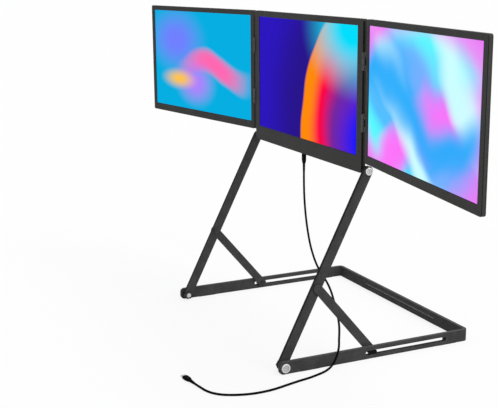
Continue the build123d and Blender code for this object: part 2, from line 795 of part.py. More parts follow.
def make_bracket_screws():
    leaf_back_y = face_y + bracket_depth
    with BuildPart() as bracket_screws:
        for side in (-1, 1):
            for z in bracket_screw_zs:
                with BuildSketch(facing_back(side * bracket_screw_x, leaf_back_y, z)):
                    Circle(screw_head_radius)
                extrude(amount=1.2)
                with BuildSketch(facing_back(side * bracket_screw_x, leaf_back_y, z)):
                    Circle(screw_radius)
                extrude(amount=-(bracket_depth - 3 * bezel_lip))
    bracket_screws.part.label = "bracket_screws"
    export_step(bracket_screws.part, "parts/bracket_screws.step")


# ---- barrel hinges ----


def leaf_plane(screen, side, height):
    """A plane across a hinge axis at a height, its own x running from the axis into the screen."""
    if screen is centre:
        inward = Vector(-side, 0, 0)
        towards_user = Vector(0, -1, 0)
    else:
        inward = screen.plane.x_dir * side
        towards_user = screen.plane.z_dir
    up = inward.cross(towards_user)
    return Plane(origin=(side * hinge_x, face_y, height), x_dir=inward, z_dir=up)


def make_hinge_leaves(screen, side, name):
    """Two stamped leaves: the outer knuckles are on the centre's leaf, the middle one on the side's."""
    middle = middle_knuckle / 2
    leaf_tip = (screen.width + hinge_gap - display_width) / 2 - panel_margin - leaf_tip_gap
    if screen is centre:
        knuckles = [
            (-barrel_length / 2, -middle - knuckle_gap),
            (middle + knuckle_gap, barrel_length / 2),
        ]
    else:
        knuckles = [(-middle, middle)]
    with BuildPart() as hinge_leaves:
        for height in hinge_heights:
            base = leaf_plane(screen, side, height)
            flip = 1 if base.z_dir.Z > 0 else -1
            with BuildSketch(base):
                with Locations(((leaf_root + leaf_tip) / 2, -leaf_near - leaf_thickness / 2)):
                    Rectangle(leaf_tip - leaf_root, leaf_thickness)
            extrude(amount=barrel_length / 2, both=True)
            for low, high in knuckles:
                with BuildSketch(base.offset(flip * low)):
                    Circle(knuckle_radius)
                    with Locations((leaf_root / 2, -leaf_near - leaf_thickness / 2)):
                        Rectangle(leaf_root, leaf_thickness)
                    Circle(hinge_pin_radius + pin_clearance, mode=Mode.SUBTRACT)
                extrude(amount=flip * (high - low))
    hinge_leaves.part.label = name
    export_step(hinge_leaves.part, f"parts/{name}.step")


def make_hinge_pins(side, name):
    with BuildPart() as hinge_pins:
        for height in hinge_heights:
            with BuildSketch(Plane.XY.offset(height - barrel_length / 2)):
                with Locations((side * hinge_x, face_y)):
                    Circle(hinge_pin_radius)
            extrude(amount=barrel_length)
    hinge_pins.part.label = name
    export_step(hinge_pins.part, f"parts/{name}.step")


# ---- plugs and cable ----


def make_plug(owner, shell_plane, body_plane):
    """A USB-C plug: metal shell, moulded body and tapered strain relief, pointing along the planes' z."""
    with BuildPart() as shell:
        with BuildSketch(shell_plane):
            RectangleRounded(plug_shell[0], plug_shell[1], plug_shell[1] / 2 - 0.05)
        extrude(amount=plug_shell[2])
        with BuildSketch(shell_plane.offset(plug_shell[2])):
            RectangleRounded(plug_shell[0] - 0.7, plug_shell[1] - 0.7, plug_shell[1] / 2 - 0.4)
        extrude(amount=0.5 - plug_shell[2], mode=Mode.SUBTRACT)
    shell.part.label = f"{owner}_plug_shell"
    export_step(shell.part, f"parts/{owner}_plug_shell.step")

    with BuildPart() as body:
        with BuildSketch(body_plane):
            RectangleRounded(overmold[0], overmold[1], 2.2)
        extrude(amount=-overmold[2])
        ends = body.faces().filter_by(GeomType.PLANE).sort_by(Axis(body_plane.origin, body_plane.z_dir))
        fillet(ends[0].edges() + ends[-1].edges(), 0.5)
    body.part.label = f"{owner}_plug_overmold"
    export_step(body.part, f"parts/{owner}_plug_overmold.step")

    with BuildPart() as relief:
        with BuildSketch(body_plane.offset(-overmold[2])):
            RectangleRounded(6.4, 4.2, 2.0)
        with BuildSketch(body_plane.offset(-overmold[2] - relief_length)):
            Circle(relief_end_radius)
        loft()
    relief.part.label = f"{owner}_plug_strain_relief"
    export_step(relief.part, f"parts/{owner}_plug_strain_relief.step")


def make_plugs():
    """The screen's plug stands up into its socket; the laptop's lies flat where the cable ends."""
    port_plane = Plane(origin=(port_x, port_y, centre_bottom - plug_gap), x_dir=(1, 0, 0), z_dir=(0, 0, 1))
    make_plug("screen", port_plane, port_plane)
    end = Vector(*cable_route[-1])
    before = Vector(*cable_route[-2])
    heading = Vector(end.X - before.X, end.Y - before.Y, 0).normalized()
    tip = end + heading * (overmold[2] + relief_length)
    laptop_plane = Plane(origin=tip, x_dir=heading.cross(Vector(0, 0, 1)), z_dir=heading)
    make_plug("laptop", laptop_plane, laptop_plane)


def make_usb_cable():
    """Straight runs joined by tangent arcs, each as large as its two runs allow."""
    points = [Vector(*point) for point in cable_route]
    radii = []
    for before, corner, after in zip(points, points[1:], points[2:]):
        turn = (corner - before).get_angle(after - corner)
        shorter = min((corner - before).length, (after - corner).length)
        radii.append(0.45 * shorter / tan(radians(turn) / 2))
    path = FilletPolyline(*points, radius=radii)
    with BuildPart() as usb_cable:
        with BuildSketch(Plane(origin=path @ 0, z_dir=path % 0)):
            Circle(cable_diameter / 2)
        sweep(path=path)
    usb_cable.part.label = "usb_cable"
    export_step(usb_cable.part, "parts/usb_cable.step")
    section = pi * cable_diameter**2 / 4
    print("cable length", round(path.length, 1), "smallest radius", round(min(radii), 1))
    print("cable volume", round(usb_cable.part.volume), "section x length", round(section * path.length))


make_base_frame()
make_slot_stop_pins()
make_rubber_feet()
make_arm_pivot_hardware()
make_strut_pivot_rivets()
make_tilt_hinge_axles()
make_strut_foot_pins()
make_slot_glides()
for side, word in ((-1, "left"), (1, "right")):
    make_arm(side, f"{word}_arm")
    make_strut(side, f"{word}_strut")
    make_hinge_pins(side, f"{word}_hinge_pins")
    make_hinge_leaves(centre, side, f"{word}_hinge_centre_leaves")
make_hinge_leaves(left, -1, "left_hinge_screen_leaves")
make_hinge_leaves(right, 1, "right_hinge_screen_leaves")
make_front_frame(centre, (-1, 1), leaf_near)
make_front_frame(left, (1,), leaf_near - side_setback)
make_front_frame(right, (-1,), leaf_near - side_setback)
for screen in (centre, left, right):
    make_lcd_panel(screen)
    make_backlight_plate(screen)
    make_rear_cover(screen)
    make_cover_screws(screen)
make_centre_driver_board()
make_side_driver_board(left)
make_side_driver_board(right)
make_usb_c_sockets()
make_button_switches()
for name, x in zip(button_names, button_xs):
    make_button(name, x)
make_tilt_hinge_brackets()
make_bracket_screws()
make_plugs()
make_usb_cable()
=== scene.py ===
import json
from math import cos, radians, sin

import bmesh
import bpy
from mathutils import Matrix, Vector

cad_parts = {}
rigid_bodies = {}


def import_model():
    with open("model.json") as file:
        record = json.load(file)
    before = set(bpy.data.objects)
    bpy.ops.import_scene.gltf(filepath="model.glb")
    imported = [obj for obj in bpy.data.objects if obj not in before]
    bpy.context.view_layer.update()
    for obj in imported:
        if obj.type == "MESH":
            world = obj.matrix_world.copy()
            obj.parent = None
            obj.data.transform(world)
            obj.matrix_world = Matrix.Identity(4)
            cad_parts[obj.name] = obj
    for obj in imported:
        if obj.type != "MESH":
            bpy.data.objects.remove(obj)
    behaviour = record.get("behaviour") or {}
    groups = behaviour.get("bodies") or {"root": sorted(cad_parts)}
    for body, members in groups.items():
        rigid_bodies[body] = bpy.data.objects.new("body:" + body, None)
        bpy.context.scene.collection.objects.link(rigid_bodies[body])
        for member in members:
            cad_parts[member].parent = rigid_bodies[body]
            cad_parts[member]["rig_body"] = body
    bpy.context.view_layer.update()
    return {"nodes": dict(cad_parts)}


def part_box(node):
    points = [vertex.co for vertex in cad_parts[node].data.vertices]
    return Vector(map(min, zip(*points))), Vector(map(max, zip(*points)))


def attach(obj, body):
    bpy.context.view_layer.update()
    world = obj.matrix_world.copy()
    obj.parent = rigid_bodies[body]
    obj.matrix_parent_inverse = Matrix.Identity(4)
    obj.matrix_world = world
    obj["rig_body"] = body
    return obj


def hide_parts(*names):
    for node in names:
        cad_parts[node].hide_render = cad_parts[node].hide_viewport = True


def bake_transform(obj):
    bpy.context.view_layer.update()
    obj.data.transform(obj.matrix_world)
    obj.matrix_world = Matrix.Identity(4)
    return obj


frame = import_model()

nodes = frame["nodes"]
mirrored = Matrix.Diagonal((-1, 1, 1, 1))
nearlyFacing = 0.9  # a face looks along a direction when its normal agrees with it more than this
placeSlack = 0.00001  # slack when faces and edges are picked by their place


def clearSelection():
    if bpy.context.object and bpy.context.object.mode != "OBJECT":
        bpy.ops.object.mode_set(mode="OBJECT")
    bpy.ops.object.select_all(action="DESELECT")


def choose(piece):
    # selects one piece and nothing else
    clearSelection()
    piece.select_set(True)
    bpy.context.view_layer.objects.active = piece


def nameNew(name):
    piece = bpy.context.object
    piece.name = name
    piece.data.name = name
    return piece


def settle(piece):
    # puts the place, turn and size of a piece into its mesh
    choose(piece)
    bpy.ops.object.transform_apply(location=True, rotation=True, scale=True)
    return piece


def addBox(name, middle, size, turn=(0, 0, 0)):
    clearSelection()
    bpy.ops.mesh.primitive_cube_add(size=1, location=middle, rotation=turn, scale=size)
    return settle(nameNew(name))


def addDisc(name, middle, radius, depth, sides, turn=(0, 0, 0), scale=(1, 1, 1)):
    clearSelection()
    bpy.ops.mesh.primitive_cylinder_add(vertices=sides, radius=radius, depth=depth,
                                        location=middle, rotation=turn, scale=scale)
    return settle(nameNew(name))


def edit(piece, kind="FACE"):
    choose(piece)
    bpy.ops.object.mode_set(mode="EDIT")
    bpy.ops.mesh.select_mode(type=kind)
    bpy.ops.mesh.select_all(action="DESELECT")


def done():
    bpy.ops.object.mode_set(mode="OBJECT")


def pickFaces(piece, test):
    # selects the faces whose middle and normal pass the test
    edit(piece)
    shape = bmesh.from_edit_mesh(piece.data)
    for face in shape.faces:
        face.select = bool(test(face.calc_center_median(), face.normal))
    shape.select_flush_mode()
    bmesh.update_edit_mesh(piece.data)


def pickEdges(piece, test):
    # selects the edges whose two ends pass the test
    edit(piece, "EDGE")
    shape = bmesh.from_edit_mesh(piece.data)
    for edge in shape.edges:
        edge.select = bool(test(edge.verts[0].co, edge.verts[1].co))
    shape.select_flush_mode()
    bmesh.update_edit_mesh(piece.data)


def facing(direction):
    # the test for faces that look along a direction
    direction = Vector(direction)
    return lambda place, normal: normal.dot(direction) > nearlyFacing


def onEnds(place, normal):
    # the test for the flat ends of an upright piece
    return abs(normal.z) > nearlyFacing


def push(x, y, z):
    bpy.ops.mesh.extrude_region_move(TRANSFORM_OT_translate={"value": (x, y, z)})


def bevel(width, segments, **settings):
    bpy.ops.mesh.bevel(offset=width, segments=segments, affect="EDGES", **settings)


def smooth(piece, angle):
    choose(piece)
    bpy.ops.object.shade_smooth_by_angle(angle=radians(angle))
    return piece


def copyTo(piece, name, place):
    # a copy with its own mesh, carried over by a matrix
    twin = piece.copy()
    twin.data = piece.data.copy()
    twin.name = name
    twin.data.name = name
    bpy.context.scene.collection.objects.link(twin)
    twin.data.transform(place)
    return twin


def joinInto(piece, *others):
    choose(piece)
    for other in others:
        other.select_set(True)
    bpy.ops.object.join()
    return piece


def faceOutwards(piece, gap=0.000001):
    # merges points closer than the gap, then turns every face outwards
    edit(piece)
    bpy.ops.mesh.select_all(action="SELECT")
    bpy.ops.mesh.remove_doubles(threshold=gap)
    bpy.ops.mesh.normals_make_consistent(inside=False)
    done()
    return piece


def bisectLevel(piece, height, **settings):
    edit(piece)
    bpy.ops.mesh.select_all(action="SELECT")
    bpy.ops.mesh.bisect(plane_co=(0, 0, height), plane_no=(0, 0, 1), **settings)
    done()


def standFor(piece, member):
    # takes the place of a CAD node and moves with its body
    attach(piece, nodes[member]["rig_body"])
    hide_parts(member)
    return piece


viewpoint = {
    "place": (1.52669, -0.82513, 0.60283),
    "azimuth": 65.404,  # degrees, like the next two
    "elevation": 12.88,
    "roll": -0.521,
    "lens": 75.24,  # millimetres, like the sensor's width
    "sensor": 36,
    "nearest": 0.05,
    "farthest": 300,
}


def placeCamera():
    turn, lift, roll = (radians(viewpoint[key]) for key in ("azimuth", "elevation", "roll"))
    back = Vector((sin(turn) * cos(lift), -cos(turn) * cos(lift), sin(lift)))
    side = Vector((cos(turn), sin(turn), 0))
    over = back.cross(side)
    right = cos(roll) * side + sin(roll) * over
    up = -sin(roll) * side + cos(roll) * over
    clearSelection()
    bpy.ops.object.camera_add()
    camera = bpy.context.object
    camera.name = "camera"
    axes = Matrix((right, up, back)).transposed().to_4x4()
    camera.matrix_world = Matrix.Translation(viewpoint["place"]) @ axes
    camera.data.lens = viewpoint["lens"]
    camera.data.sensor_width = viewpoint["sensor"]
    camera.data.clip_start = viewpoint["nearest"]
    camera.data.clip_end = viewpoint["farthest"]
    bpy.context.scene.camera = camera


placeCamera()
print("camera placed")


# the cable between the centre screen and the laptop, in one smooth curve
cable = {
    "diameter": 0.0036,
    "length": 0.6394,
    "sides": 16,
    "steps": 14,  # between two points of the route
    "gap": 0.00001,  # points closer than this are merged
    "creases": 50,  # degrees past which its edges stay sharp
    "cut": 0.245,  # height where the part joined to the screen's plug begins
    "bend": ((0.1, -0.05, 0.03), (-0.005, -0.0202, 0.251)),
    "route": [
        (-0.005, -0.0202, 0.265), (-0.005, -0.0202, 0.245), (0, -0.0218, 0.216),
        (0.012, -0.0247, 0.183), (0.032, -0.0286, 0.149), (0.052, -0.0308, 0.127),
        (0.07, -0.0322, 0.114), (0.095, -0.0313, 0.1), (0.112, -0.0326, 0.0905),
        (0.13, -0.036, 0.077), (0.16, -0.043, 0.051), (0.178, -0.0525, 0.04),
        (0.1906, -0.0603, 0.0338), (0.2003, -0.0656, 0.0302), (0.2087, -0.0709, 0.0277),
        (0.2152, -0.0762, 0.023), (0.219, -0.0814, 0.0163), (0.2214, -0.087, 0.0098),
        (0.2238, -0.094, 0.005), (0.2266, -0.1025, 0.0025), (0.2302, -0.1125, 0.0018),
        (0.234, -0.1235, 0.0018), (0.2386, -0.1375, 0.0018), (0.2418, -0.155, 0.0018),
        (0.247, -0.176, 0.0018), (0.2542, -0.2025, 0.0018), (0.256, -0.222, 0.0018),
        (0.2552, -0.2396, 0.0018), (0.251, -0.2566, 0.0018), (0.245, -0.271, 0.0018),
        (0.2365, -0.284, 0.0018), (0.2215, -0.2945, 0.0018), (0.202, -0.2994, 0.0027),
        (0.184, -0.3016, 0.0027),
    ],
}


def drawRoute():
    curve = bpy.data.curves.new("usb_c_cable", "CURVE")
    curve.dimensions = "3D"
    curve.resolution_u = cable["steps"]
    spline = curve.splines.new("NURBS")
    spline.points.add(len(cable["route"]) - 1)
    for point, place in zip(spline.points, cable["route"]):
        point.co = (*place, 1)
    spline.order_u = 3
    spline.use_endpoint_u = True
    piece = bpy.data.objects.new("usb_c_cable", curve)
    bpy.context.scene.collection.objects.link(piece)
    line = bpy.data.meshes.new_from_object(piece)
    return piece, [tuple(vertex.co) for vertex in line.vertices]


def trimCable(piece, keepBelow):
    bisectLevel(piece, cable["cut"], use_fill=True, clear_inner=not keepBelow, clear_outer=keepBelow)
    return faceOutwards(piece)


def layCable():
    piece, path = drawRoute()
    piece.data.bevel_depth = cable["diameter"] / 2
    piece.data.bevel_resolution = cable["sides"] // 4 - 1
    piece.data.use_fill_caps = True
    choose(piece)
    bpy.ops.object.convert(target="MESH")
    piece = faceOutwards(nameNew("usb_c_cable"), cable["gap"])
    smooth(piece, cable["creases"])
    top = trimCable(copyTo(piece, "usb_c_cable_top", Matrix.Identity(4)), False)
    trimCable(piece, True)
    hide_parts("usb_cable")
    # the path starts at the cut's own point
    first = next(number for number, place in enumerate(path) if place[2] < cable["cut"])
    above, below = Vector(path[first - 1]), Vector(path[first])
    share = (above.z - cable["cut"]) / (above.z - below.z)
    return piece, top, [tuple(above.lerp(below, share)), *path[first:]]


usbCable, cableTop, cablePath = layCable()
print("cable laid", len(cablePath), "points")
for place in (cablePath[0], cablePath[-1]):
    print("  cable end", tuple(round(value, 4) for value in place))


def colour(red, green, blue):
    # screen values from 0 to 255 as the linear numbers that a shader takes
    parts = [value / 255 for value in (red, green, blue)]
    linear = [part / 12.92 if part <= 0.04045 else ((part + 0.055) / 1.055) ** 2.4 for part in parts]
    return (*linear, 1)


class Amount:
    # a number that changes over a surface
    def __init__(self, finish, socket):
        self.finish = finish
        self.socket = socket

    def __add__(self, other):
        return self.finish.maths("ADD", self, other)

    def __sub__(self, other):
        return self.finish.maths("SUBTRACT", self, other)

    def __rsub__(self, other):
        return self.finish.maths("SUBTRACT", other, self)

    def __mul__(self, other):
        return self.finish.maths("MULTIPLY", self, other)

    def __pow__(self, other):
        return self.finish.maths("POWER", self, other)

    __radd__ = __add__
    __rmul__ = __mul__


def feed(tree, socket, value):
    if isinstance(value, Amount):
        value = value.socket
    if isinstance(value, bpy.types.NodeSocket):
        tree.links.new(value, socket)
    else:
        socket.default_value = value


def addNode(tree, kind, settings=None, values=None):
    # the settings first, then the values or links of the sockets
    node = tree.nodes.new(kind)
    for key, value in (settings or {}).items():
        setattr(node, key, value)
    for key, value in (values or {}).items():
        feed(tree, node.inputs[key], value)
    return node


edgeBlur = 0.0002  # how softly a change of tone begins, unless a call says otherwise


class Finish:
    # one material, with what its shader takes
    def __init__(self, name, **fixed):
        self.material = bpy.data.materials.new(name)
        self.material.use_nodes = True
        self.tree = self.material.node_tree
        self.tree.nodes.clear()
        values = {key.replace("_", " "): value for key, value in fixed.items()}
        self.shader = self.add("ShaderNodeBsdfPrincipled", {}, values)
        self.add("ShaderNodeOutputMaterial", {}, {"Surface": self.shader.outputs["BSDF"]})
        self.where = self.add("ShaderNodeTexCoord").outputs["Object"]

    def add(self, kind, settings=None, values=None):
        return addNode(self.tree, kind, settings, values)

    def number(self, kind, settings, values, output=0):
        return Amount(self, self.add(kind, settings, values).outputs[output])

    def maths(self, operation, *amounts):
        return self.number("ShaderNodeMath", {"operation": operation}, dict(enumerate(amounts)))

    def set(self, **values):
        for key, value in values.items():
            feed(self.tree, self.shader.inputs[key.replace("_", " ")], value)

    def bump(self, height, distance):
        node = self.add("ShaderNodeBump", {}, {"Height": height, "Distance": distance})
        self.set(Normal=node.outputs["Normal"])

    def blend(self, mask, first, second):
        node = self.add("ShaderNodeMix", {"data_type": "RGBA"}, {0: mask, 6: first, 7: second})
        return node.outputs[2]

    def grain(self, size, detail):
        # cloudy noise from 0 to 1, its spots about as large as size
        values = {"Vector": self.where, "Scale": 1 / size, "Detail": detail}
        return self.number("ShaderNodeTexNoise", {}, values)

    def ramp(self, amount, low, high, kind="SMOOTHSTEP"):
        # 0 below low, 1 above high
        values = {"Value": amount, "From Min": low, "From Max": high}
        return self.number("ShaderNodeMapRange", {"interpolation_type": kind}, values)

    def past(self, amount, start, blur=edgeBlur):
        # 0 before start, 1 past it
        return self.ramp(amount, start, start + blur)

    def band(self, amount, low, high, blur=edgeBlur):
        # 1 between low and high
        return self.past(amount, low, blur) - self.past(amount, high, blur)

    def waves(self, amount, swing=1):
        return self.maths("SINE", amount) * swing

    def split(self, where=None):
        # the X, Y and Z of a place
        node = self.add("ShaderNodeSeparateXYZ", {}, {0: where or self.where})
        return [Amount(self, node.outputs[axis]) for axis in "XYZ"]

    def outward(self):
        # X without its sign, the same for the left and the right piece of a pair
        return self.maths("ABSOLUTE", self.split()[0])

    def along(self, direction, start):
        # distance from a place, measured along a direction
        values = {0: self.where, 1: direction}
        dot = self.number("ShaderNodeVectorMath", {"operation": "DOT_PRODUCT"}, values, 1)
        return dot - start.dot(direction)

    def local(self, corner, turn, size):
        # places counted from a corner, along the turned sides, in shares of the size
        values = {"Vector": self.where, "Location": corner, "Rotation": turn, "Scale": size}
        return self.add("ShaderNodeMapping", {"vector_type": "TEXTURE"}, values).outputs["Vector"]


coatMix = {
    "fineDetail": 3,
    "cloudDetail": 2,
    "fineShare": 0.6,  # how much of the tone comes from the fine grain, the rest from the cloud
    "toneSpan": (0.36, 0.64),
    "roughSpan": (0.3, 0.7),
}


def mattCoating(name, dark, light, grainSize, grainDepth, cloudSize, rough, layers=(), **fixed):
    # paint, plastic or plain metal with a fine grain and a faint change of tone
    # each layer is a mask and its own tone; this script's layers are painted light and painted shade
    finish = Finish(name, **fixed)
    fine = finish.grain(grainSize, coatMix["fineDetail"])
    cloud = finish.grain(cloudSize, coatMix["cloudDetail"])
    mottle = fine * coatMix["fineShare"] + cloud * (1 - coatMix["fineShare"])
    body = finish.blend(finish.ramp(mottle, *coatMix["toneSpan"]), dark, light)
    for mask, layerTone in layers:
        body = finish.blend(mask(finish), body, layerTone)
    lowest, highest = rough
    spread = finish.ramp(fine, *coatMix["roughSpan"], "LINEAR")
    finish.set(Base_Color=body, Roughness=spread * (highest - lowest) + lowest)
    finish.bump(fine, grainDepth)
    return finish.material


screens = {"left": 10.5, "centre": 0, "right": -8.9}  # degrees that each screen is turned about Z


def screenAcross(name):
    turn = radians(screens[name])
    return Vector((cos(turn), sin(turn), 0))


def screenFront(name):
    turn = radians(screens[name])
    return Vector((sin(turn), -cos(turn), 0))


def panelPlace(name):
    # the panel's middle and height, as the frame holds it
    low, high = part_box(name + "_lcd_panel")
    return (low + high) / 2, high.z - low.z


coatings = {
    "frame_paint": dict(dark=colour(51, 51, 51), light=colour(66, 66, 66), grainSize=0.0009,
                        grainDepth=0.00009, cloudSize=0.02, rough=(0.62, 0.78), Specular_IOR_Level=0.12),
    "cover_plastic": dict(dark=colour(46, 46, 46), light=colour(56, 56, 56), grainSize=0.0008,
                          grainDepth=0.00006, cloudSize=0.05, rough=(0.6, 0.74),
                          Specular_IOR_Level=0.15),
    "foot_rubber": dict(dark=colour(20, 20, 20), light=colour(29, 29, 29), grainSize=0.0012,
                        grainDepth=0.00006, cloudSize=0.01, rough=(0.75, 0.9), Specular_IOR_Level=0.1),
    "glide_plastic": dict(dark=colour(7, 7, 7), light=colour(13, 13, 13), grainSize=0.0007,
                          grainDepth=0.00003, cloudSize=0.008, rough=(0.5, 0.65),
                          Specular_IOR_Level=0.06),
    "cable_jacket": dict(dark=colour(3, 3, 3), light=colour(8, 8, 8), grainSize=0.0008,
                         grainDepth=0.00003, cloudSize=0.012, rough=(0.46, 0.6),
                         Specular_IOR_Level=0.03),
    "blackened_steel": dict(dark=colour(38, 38, 40), light=colour(58, 58, 60), grainSize=0.0005,
                            grainDepth=0.00002, cloudSize=0.006, rough=(0.3, 0.45), Metallic=0.8),
    "hinge_steel": dict(dark=colour(56, 55, 54), light=colour(70, 69, 68), grainSize=0.0006,
                        grainDepth=0.00003, cloudSize=0.01, rough=(0.4, 0.52), Metallic=0.35),
    "plate_aluminium": dict(dark=colour(150, 152, 154), light=colour(178, 180, 182), grainSize=0.0008,
                            grainDepth=0.00002, cloudSize=0.02, rough=(0.35, 0.5), Metallic=1.0),
    "plug_metal": dict(dark=colour(176, 176, 178), light=colour(206, 206, 208), grainSize=0.0006,
                       grainDepth=0.00001, cloudSize=0.004, rough=(0.22, 0.34), Metallic=1.0),
    "circuit_board": dict(dark=colour(14, 44, 26), light=colour(26, 74, 40), grainSize=0.0012,
                          grainDepth=0.00004, cloudSize=0.006, rough=(0.35, 0.5)),
    "panel_glass": dict(dark=colour(5, 5, 6), light=colour(10, 10, 11), grainSize=0.0005,
                        grainDepth=0.000004, cloudSize=0.03, rough=(0.3, 0.4), Specular_IOR_Level=0.2),
}
finishes = {name: mattCoating(name, **values) for name, values in coatings.items()}

# each screen has its own coat on these two, with painted shade along its own seam
screenCoats = {
    "_front_frame": dict(dark=colour(55, 55, 54), light=colour(62, 62, 61), grainSize=0.0006,
                         grainDepth=0.00003, cloudSize=0.05, rough=(0.6, 0.72),
                         Specular_IOR_Level=0.12),
    "_rear_cover": coatings["cover_plastic"],
}

# painted shade along the screens' seams, placed by depth behind each screen's face
seamShade = {
    "panelDepth": 0.00205,  # the panel's middle behind the screen's face
    "start": 0.0004,
    "end": 0.0014,
    "blur": 0.00012,
    "wallInset": (0.00015, 0.00005),  # where the side wall's painted shade begins and is full
    "wallDepth": 0.0034,
    "wallFade": 0.6,
    "tone": colour(9, 9, 9),
}


def screenSeam(name):
    # painted shade: a dark band in the recess behind the bezel's edge, and on the centre screen's side
    # walls where its neighbours shade them, lighter further in
    front = screenFront(name)
    face = panelPlace(name)[0] + front * seamShade["panelDepth"]

    def mask(finish):
        depth = finish.along(-front, face)
        line = finish.band(depth, seamShade["start"], seamShade["end"], seamShade["blur"])
        if name != "centre":
            return line
        begin, full = (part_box("centre_front_frame")[1].x - inset for inset in seamShade["wallInset"])
        behind = finish.past(depth, seamShade["start"], seamShade["blur"])
        deep = finish.past(depth, seamShade["wallDepth"], seamShade["blur"])
        # painted shade on the centre's side walls, faded past wallDepth
        wallShade = finish.ramp(finish.outward(), begin, full) * behind * (1 - deep * seamShade["wallFade"])
        return finish.maths("MAXIMUM", line, wallShade)

    return mask


# where the stand's flat bars change tone: painted light on the tops of the bars and in the crossbar's
# groove, painted shade in the rails' slots and on the narrow edges of the arms and struts
barMarks = {
    # painted light on the bars' top faces, from this height up
    "top": 0.0203,
    "topLightShare": 0.8,
    "topLightTone": colour(76, 76, 76),
    "groove": ((-0.1092, 0.1202), (0.1671, 0.1689), (0.0083, 0.0129)),  # spans in X, Y and Z
    # painted light filling the crossbar's groove, for its lit lower ledge
    "paintedGrooveTone": colour(120, 120, 120),
    # painted shade on the walls inside the slots
    "slot": ((0.2031, 0.2081), (-0.0223, 0.1293), (0.0071, 0.0141)),  # on both rails
    "slotShadeTone": colour(12, 12, 12),
    "arm": (0.1929, 0.1979),  # where the narrow edges are flat, between their roundings
    "strut": (0.1992, 0.2012),
    # painted shade on the narrow edges of the arms and struts
    "edgeShadeShare": 0.95,
    "edgeShadeTone": colour(15, 15, 15),
}


# painted light: lighter tops, as if lit from above
def paintedTopLightMask(finish):
    return finish.past(finish.split()[2], barMarks["top"]) * barMarks["topLightShare"]


def boxMask(finish, places, spans):
    first, second, third = (finish.band(place, *span) for place, span in zip(places, spans))
    return first * second * third


# painted light: the groove is lighter, standing in for its lit lower ledge
def paintedGrooveLightMask(finish):
    return boxMask(finish, finish.split(), barMarks["groove"])


# painted shade inside the rails' slots
def paintedSlotShadeMask(finish):
    return boxMask(finish, [finish.outward(), *finish.split()[1:]], barMarks["slot"])


def paintedEdgeShadeMask(span):
    # painted shade on the narrow edges of a bar that stands upright, between its two broad faces
    return lambda finish: finish.band(finish.outward(), *span) * barMarks["edgeShadeShare"]


# each bar's painted light and shade, as masks and tones
barLayers = {
    "base_frame": [
        (paintedTopLightMask, barMarks["topLightTone"]),
        (paintedGrooveLightMask, barMarks["paintedGrooveTone"]),
        (paintedSlotShadeMask, barMarks["slotShadeTone"]),
    ],
    "arm": [(paintedEdgeShadeMask(barMarks["arm"]), barMarks["edgeShadeTone"])],
    "strut": [(paintedEdgeShadeMask(barMarks["strut"]), barMarks["edgeShadeTone"])],
}

# the record's slots and the nodes that keep their own shape
slotNodes = {
    "frame_paint": ["strut_pivot_rivets", "strut_washers"],
    "foot_rubber": ["rubber_feet"],
    "blackened_steel": ["arm_pivot_lock_nuts", "strut_foot_pins", "slot_stop_pins",
                        "tilt_hinge_brackets", "bracket_screws", "centre_cover_screws",
                        "left_cover_screws", "right_cover_screws"],
    "hinge_steel": ["left_hinge_pins", "right_hinge_pins"],
    "glide_plastic": ["slot_glides", "arm_pivot_spacers", "button_switches"],
    "cover_plastic": ["power_button", "menu_up_button", "menu_down_button"],
    "plate_aluminium": ["centre_backlight_plate", "left_backlight_plate", "right_backlight_plate"],
    "circuit_board": ["centre_driver_board", "left_driver_board", "right_driver_board"],
    "plug_metal": ["usb_c_sockets", "screen_plug_shell", "laptop_plug_shell"],
}


def dress(piece, material):
    if piece.material_slots:
        for slot in piece.material_slots:
            slot.material = material
    else:
        piece.data.materials.append(material)


def dressNodes():
    for slotName, members in slotNodes.items():
        for member in members:
            dress(nodes[member], finishes[slotName])
    for screenName in screens:
        for ending, coat in screenCoats.items():
            name = screenName + ending
            # painted shade along the screen's seam
            layers = [(screenSeam(screenName), seamShade["tone"])]
            dress(nodes[name], mattCoating(name, layers=layers, **coat))
    for ending, layers in barLayers.items():
        # the bars' paint, with their painted light and shade as layers
        coat = mattCoating(ending + "_paint", layers=layers, **coatings["frame_paint"])
        for member in (name for name in nodes if name.endswith(ending)):
            dress(nodes[member], coat)


dressNodes()
dress(usbCable, finishes["cable_jacket"])
print("finishes made")


# light metal caps on the arm pivots and the tilt axles, with a groove round a lowered disc
# "seat" is the cap's inner face, "end" the shank's inner end, and "shank", "inner" and "socket" are radii
turnedCaps = {
    "arm_pivot_bolts": {
        "seat": 0.2085, "end": 0.1887, "radius": 0.0072, "shank": 0.004, "rim": 0.0006,
        "groove": 0.0006, "inner": 0.0041, "socket": 0.0016,
    },
    "tilt_hinge_axles": {
        "seat": 0.1984, "end": 0.1879, "radius": 0.006, "shank": 0.003, "rim": 0.0005,
        "groove": 0.0005, "inner": 0.0034, "socket": 0.0013,
    },
}
lathe = {
    "thickness": 0.0024,
    "recess": 0.0006,
    "step": 0.00035,
    "socketDepth": 0.0009,
    "sides": 96,
    "rimSegments": 4,
    "creases": 30,  # degrees past which the edges stay sharp
    "metal": 0.85,
    "rings": 21000,  # radians of their wave in one metre, so that they lie 0.3 mm apart
    "ringDepth": 0.00001,
    "speckle": 0.0007,
    "speckleDetail": 2,
    "rimTones": (colour(200, 201, 202), colour(220, 220, 220)),
    "faceTones": (colour(182, 183, 184), colour(200, 200, 201)),
    # painted shade in the caps' grooves
    "paintedGrooveTone": colour(110, 110, 112),
    "grooveShadeShare": 0.7,
    "rough": 0.34,
    "speckleRough": 0.12,
    "ringRough": 0.03,
}


